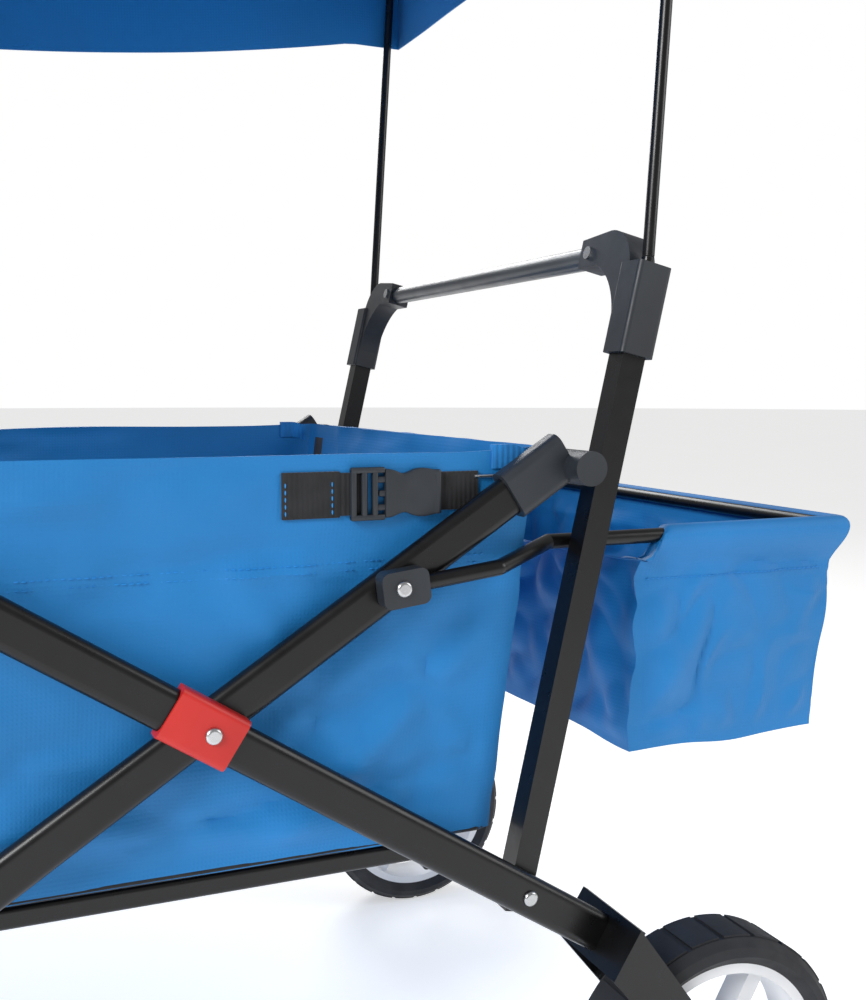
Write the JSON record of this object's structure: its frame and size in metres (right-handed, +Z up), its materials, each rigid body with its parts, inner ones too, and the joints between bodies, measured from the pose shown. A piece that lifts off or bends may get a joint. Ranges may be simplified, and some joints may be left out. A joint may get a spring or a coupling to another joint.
{
  "type": "folding beach cart",
  "caption": "Folding beach cart with fabric tub, push handle, rear basket, canopy, swivel front wheels and pull handle.",
  "frame": {"origin": "bottom centre of the bounding box, on the ground between the wheels", "axes": "+X to the push-handle end, +Y to the right side seen from behind the pull handle end looking rearward, +Z up"},
  "size_m": [1.2704, 0.63, 1.014],
  "materials": {
    "powder_coated_steel": "satin black powder coat",
    "black_nylon": "moulded, lightly textured",
    "red_nylon": "moulded",
    "zinc_steel": "bright zinc",
    "blue_polyester": "woven polyester",
    "black_webbing": "woven webbing",
    "tyre_rubber": "moulded tread",
    "white_rim": "moulded"
  },
  "bodies": {
    "tub": {"tub_fabric": "blue_polyester", "floor_pad": "black_webbing", "side_straps": "black_webbing", "buckle_bodies": "black_nylon", "buckle_tongues": "black_nylon"},
    "rear_legs": {"rear_leg_left": "powder_coated_steel", "rear_leg_right": "powder_coated_steel", "rear_clips": "red_nylon", "rear_leg_rivets": "zinc_steel", "rear_forks": "powder_coated_steel", "rear_axles": "zinc_steel", "rear_rail_bar": "powder_coated_steel", "handle_rivets": "zinc_steel"},
    "rear_braces": {"rear_braces": "powder_coated_steel", "rear_elbows": "black_nylon", "rear_top_bar": "powder_coated_steel", "arm_rivets": "zinc_steel"},
    "front_braces": {"front_braces": "powder_coated_steel", "front_elbows": "black_nylon", "front_top_bar": "powder_coated_steel", "front_clips": "red_nylon", "front_brace_rivets": "zinc_steel", "pole_cradles": "black_nylon"},
    "front_legs": {"front_leg_left": "powder_coated_steel", "front_leg_right": "powder_coated_steel", "caster_housings": "black_nylon", "front_foot_bar": "powder_coated_steel", "front_rail_bar": "powder_coated_steel", "pull_bracket": "black_nylon", "pull_pin": "zinc_steel"},
    "rear_rails": {"rear_floor_rails": "powder_coated_steel"},
    "front_rails": {"front_floor_rails": "powder_coated_steel"},
    "push_handle": {"handle_tubes": "powder_coated_steel", "handle_corners": "black_nylon", "handle_bar": "powder_coated_steel", "corner_screws": "zinc_steel", "pole_studs": "powder_coated_steel"},
    "rear_basket": {"basket_arms": "powder_coated_steel", "arm_caps": "black_nylon", "basket_rear_bar": "powder_coated_steel", "basket_fabric": "blue_polyester"},
    "canopy": {"canopy_fabric": "blue_polyester", "rear_poles": "powder_coated_steel", "front_poles": "powder_coated_steel"},
    "pull_handle": {"pull_lower_tube": "powder_coated_steel"},
    "pull_extension": {"pull_upper_tube": "powder_coated_steel", "pull_grip": "black_nylon"},
    "rear_wheel_left": {"rear_tyre_left": "tyre_rubber", "rear_rim_left": "white_rim"},
    "caster_left": {"caster_fork_left": "powder_coated_steel", "caster_axle_left": "zinc_steel"},
    "front_wheel_left": {"front_tyre_left": "tyre_rubber", "front_rim_left": "white_rim"},
    "rear_wheel_right": {"rear_tyre_right": "tyre_rubber", "rear_rim_right": "white_rim"},
    "caster_right": {"caster_fork_right": "powder_coated_steel", "caster_axle_right": "zinc_steel"},
    "front_wheel_right": {"front_tyre_right": "tyre_rubber", "front_rim_right": "white_rim"}
  },
  "joints": [
    {"name": "fold", "type": "hinge", "parent": "tub", "child": "rear_legs", "pos_m": [0.15626, 0, 0.38], "axis": [0, 1, 0], "range_deg": [0, 34], "deforming": ["tub_fabric", "floor_pad", "side_straps", "buckle_bodies", "buckle_tongues", "basket_fabric"]},
    {"name": "rear_brace_turn", "type": "hinge", "parent": "tub", "child": "rear_braces", "pos_m": [0.15626, 0, 0.38], "axis": [0, 1, 0], "range_deg": [-34, 0]},
    {"name": "front_brace_turn", "type": "hinge", "parent": "rear_braces", "child": "front_braces", "pos_m": [-0.08224, 0, 0.22512], "axis": [0, 1, 0], "range_deg": [0, 68]},
    {"name": "front_leg_turn", "type": "hinge", "parent": "front_braces", "child": "front_legs", "pos_m": [-0.32074, 0, 0.38], "axis": [0, 1, 0], "range_deg": [-68, 0]},
    {"name": "rear_rail_turn", "type": "hinge", "parent": "rear_legs", "child": "rear_rails", "pos_m": [0.29126, 0, 0.2777], "axis": [0, 1, 0], "range_deg": [0, 23]},
    {"name": "front_rail_turn", "type": "hinge", "parent": "front_legs", "child": "front_rails", "pos_m": [-0.45574, 0, 0.2777], "axis": [0, 1, 0], "range_deg": [-23, 0]},
    {"name": "push_handle_swing", "type": "hinge", "parent": "rear_legs", "child": "push_handle", "pos_m": [0.35754, 0, 0.24929], "axis": [0, 1, 0], "range_deg": [0, 82]},
    {"name": "basket_turn", "type": "hinge", "parent": "rear_braces", "child": "rear_basket", "pos_m": [0.27116, 0, 0.45462], "axis": [0, 1, 0], "range_deg": [0, 92]},
    {"name": "canopy_lift", "type": "slide", "parent": "tub", "child": "canopy", "axis": [0, 0, 1], "range_m": [0, 0.35]},
    {"name": "pull_handle_swing", "type": "hinge", "parent": "front_legs", "child": "pull_handle", "pos_m": [-0.60626, 0, 0.2303], "axis": [0, -1, 0], "range_deg": [0, 100]},
    {"name": "pull_handle_extend", "type": "slide", "parent": "pull_handle", "child": "pull_extension", "axis": [0.0698, 0, 0.9976], "range_m": [0, 0.15]},
    {"name": "rear_wheel_spin_left", "type": "hinge", "parent": "rear_legs", "child": "rear_wheel_left", "pos_m": [0.49826, -0.274, 0.101], "axis": [0, 1, 0], "continuous": true},
    {"name": "caster_swivel_left", "type": "hinge", "parent": "front_legs", "child": "caster_left", "pos_m": [-0.56426, -0.26, 0.101], "axis": [0, 0, 1], "continuous": true},
    {"name": "front_wheel_spin_left", "type": "hinge", "parent": "caster_left", "child": "front_wheel_left", "pos_m": [-0.53426, -0.26, 0.101], "axis": [0, 1, 0], "continuous": true},
    {"name": "rear_wheel_spin_right", "type": "hinge", "parent": "rear_legs", "child": "rear_wheel_right", "pos_m": [0.49826, 0.274, 0.101], "axis": [0, 1, 0], "continuous": true},
    {"name": "caster_swivel_right", "type": "hinge", "parent": "front_legs", "child": "caster_right", "pos_m": [-0.56426, 0.26, 0.101], "axis": [0, 0, 1], "continuous": true},
    {"name": "front_wheel_spin_right", "type": "hinge", "parent": "caster_right", "child": "front_wheel_right", "pos_m": [-0.53426, 0.26, 0.101], "axis": [0, 1, 0], "continuous": true}
  ],
  "couplings": [
    {"joint": "rear_brace_turn", "follows": "fold", "ratio": -1},
    {"joint": "front_brace_turn", "follows": "fold", "ratio": 2},
    {"joint": "front_leg_turn", "follows": "fold", "ratio": -2},
    {"joint": "rear_rail_turn", "follows": "fold", "ratio": 0.66},
    {"joint": "front_rail_turn", "follows": "fold", "ratio": -0.66},
    {"joint": "basket_turn", "follows": "fold", "ratio": 2.7}
  ]
}
